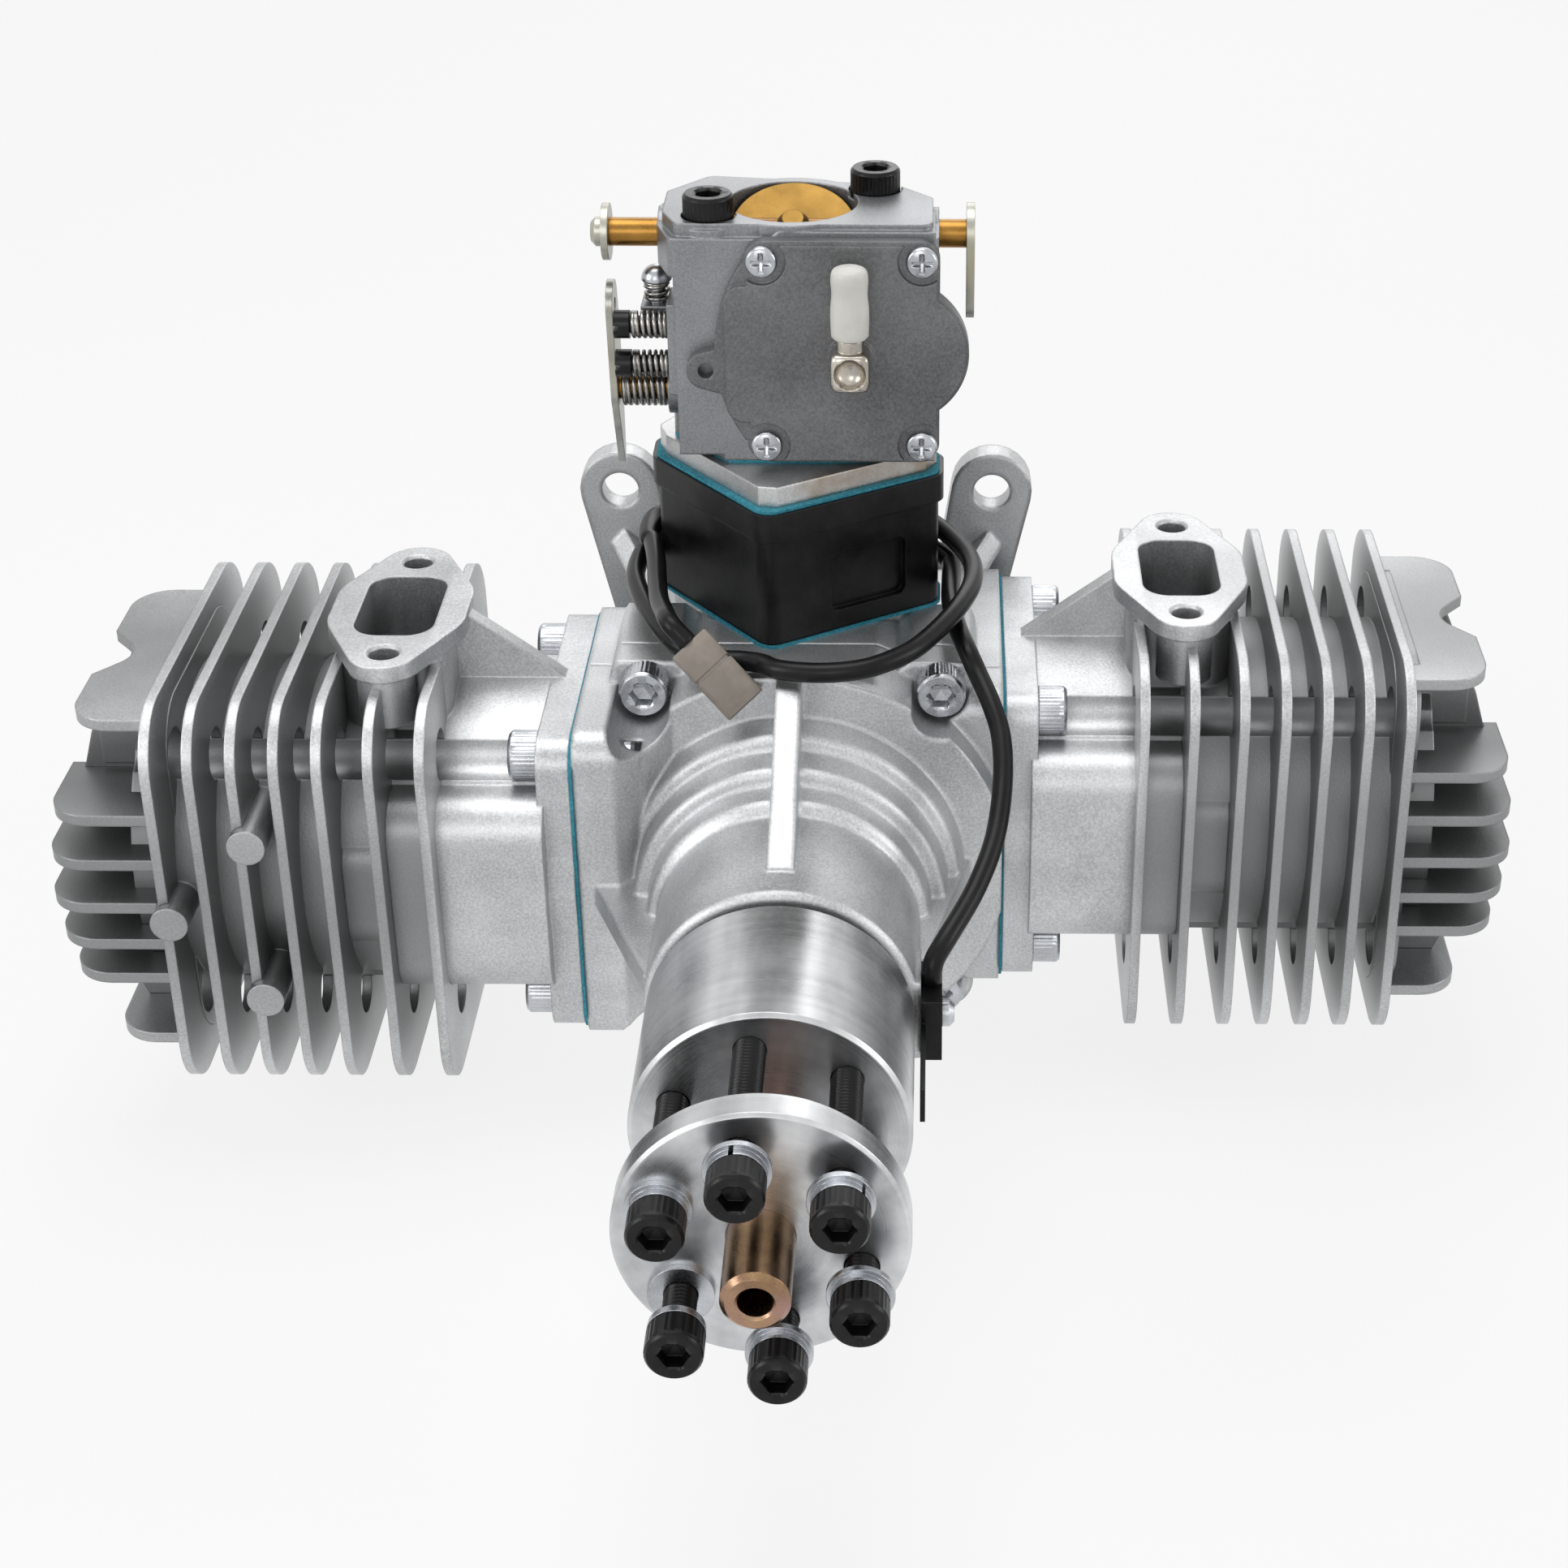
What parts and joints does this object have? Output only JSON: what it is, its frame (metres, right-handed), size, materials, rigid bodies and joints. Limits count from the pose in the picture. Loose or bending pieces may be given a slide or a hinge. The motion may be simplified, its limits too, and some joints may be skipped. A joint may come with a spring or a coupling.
{
  "type": "flat twin two-stroke model aircraft engine",
  "caption": "Flat twin two-stroke engine for model aircraft with finned cylinders, top carburettor, drive hub, propeller clamp and ignition pick-up on a coiled cable.",
  "frame": {"origin": "crankshaft axis in the rear face of the four mount ears", "axes": "+Z towards the carburettor and exhaust flanges, -Y towards the propeller end, +X towards the right cylinder seen from the propeller"},
  "size_m": [0.251, 0.1874, 0.1584],
  "materials": {
    "casting": "fine grained cast aluminium",
    "turned": "turned bright aluminium",
    "steel": "machined or zinc plated steel",
    "black_steel": "black oxide steel",
    "chromate": "yellow chromated steel",
    "brass": "machined brass",
    "piston": "machined aluminium",
    "nickel": "satin nickel",
    "zinc": "die cast zinc, dull",
    "zinc_dark": "die cast zinc, darker",
    "gasket": "teal gasket paper",
    "black_plastic": "black moulded plastic",
    "white_plastic": "white cap",
    "beige_plastic": "beige connector",
    "black_rubber": "black sheath",
    "spring": "spring wire"
  },
  "bodies": {
    "case": {"crankcase_front": "casting", "crankcase_rear": "casting", "case_bolts": "steel", "bearing_outer_races": "steel", "bearing_balls": "steel", "front_seal": "black_rubber", "cylinder_left": "casting", "cylinder_right": "casting", "cylinder_fins": "casting", "base_gaskets": "gasket", "base_bolts": "steel", "spark_plugs": "steel", "intake_gaskets": "gasket", "reed_block": "black_plastic", "reed_cage": "black_plastic", "reed_petals": "black_rubber", "carb_adapter": "casting", "carb_body": "zinc", "carb_cover": "zinc_dark", "carb_rear_cover": "zinc_dark", "cover_screws": "steel", "carb_bolts": "black_steel", "fuel_elbow": "nickel", "elbow_cap": "white_plastic", "throttle_spring": "spring", "idle_spring": "spring", "needle_springs": "spring", "ignition_sensor": "black_plastic", "sensor_screw": "steel", "sensor_cable": "black_rubber", "cable_plug": "beige_plastic"},
    "rotor": {"crankshaft": "steel", "crank_centre_web": "steel", "crank_rear_web": "steel", "bearing_inner_races": "steel", "drive_hub": "turned", "trigger_magnet": "steel", "prop_washer": "turned", "prop_bolts": "black_steel", "bolt_washers": "steel", "prop_nut": "chromate"},
    "piston_l": {"piston_left": "piston", "piston_rings_left": "steel", "wrist_pins_left": "steel"},
    "piston_r": {"piston_right": "piston", "piston_rings_right": "steel", "wrist_pins_right": "steel"},
    "rod_l": {"conrod_left": "steel", "crankpin_left": "steel"},
    "rod_r": {"conrod_right": "steel", "crankpin_right": "steel"},
    "choke": {"choke_shaft": "brass", "choke_plate": "brass", "choke_lever": "steel"},
    "throttle": {"throttle_shaft": "brass", "throttle_plate": "brass", "throttle_lever": "chromate"},
    "idle": {"idle_screw": "steel"},
    "needle_high": {"mixture_needle_high": "black_steel"},
    "needle_low": {"mixture_needle_low": "black_steel"}
  },
  "joints": [
    {"name": "crank_spin", "type": "hinge", "parent": "case", "child": "rotor", "pos_m": [0, 0, 0], "axis": [0, 1, 0], "continuous": true},
    {"name": "piston_left_slide", "type": "slide", "parent": "case", "child": "piston_l", "axis": [1, 0, 0], "range_m": [0, 0.035]},
    {"name": "piston_right_slide", "type": "slide", "parent": "case", "child": "piston_r", "axis": [-1, 0, 0], "range_m": [0, 0.035]},
    {"name": "conrod_left_swing", "type": "hinge", "parent": "piston_l", "child": "rod_l", "pos_m": [-0.079, -0.0545, 0], "axis": [0, 1, 0], "range_deg": [-16.53, 16.53]},
    {"name": "conrod_right_swing", "type": "hinge", "parent": "piston_r", "child": "rod_r", "pos_m": [0.079, -0.0375, 0], "axis": [0, 1, 0], "range_deg": [-16.53, 16.53]},
    {"name": "choke_turn", "type": "hinge", "parent": "case", "child": "choke", "pos_m": [0, -0.0303, 0.1001], "axis": [1, 0, 0], "range_deg": [-22, 50]},
    {"name": "throttle_turn", "type": "hinge", "parent": "case", "child": "throttle", "pos_m": [0, -0.0303, 0.0725], "axis": [1, 0, 0], "range_deg": [0, 75], "stiffness_Nm_per_rad": 0.008, "springref_deg": -34.38},
    {"name": "idle_screw_turn", "type": "hinge", "parent": "case", "child": "idle", "pos_m": [-0.0234, -0.0315, 0], "axis": [0, 0, 1], "range_deg": [-360, 360]},
    {"name": "needle_high_turn", "type": "hinge", "parent": "case", "child": "needle_high", "pos_m": [0, -0.0373, 0.0862], "axis": [1, 0, 0], "range_deg": [-540, 540]},
    {"name": "needle_low_turn", "type": "hinge", "parent": "case", "child": "needle_low", "pos_m": [0, -0.0373, 0.0792], "axis": [1, 0, 0], "range_deg": [-540, 540]}
  ],
  "couplings": [
    {"joint": "piston_right_slide", "follows": "piston_left_slide", "ratio": 1},
    {"joint": "conrod_right_swing", "follows": "conrod_left_swing", "ratio": 1}
  ]
}
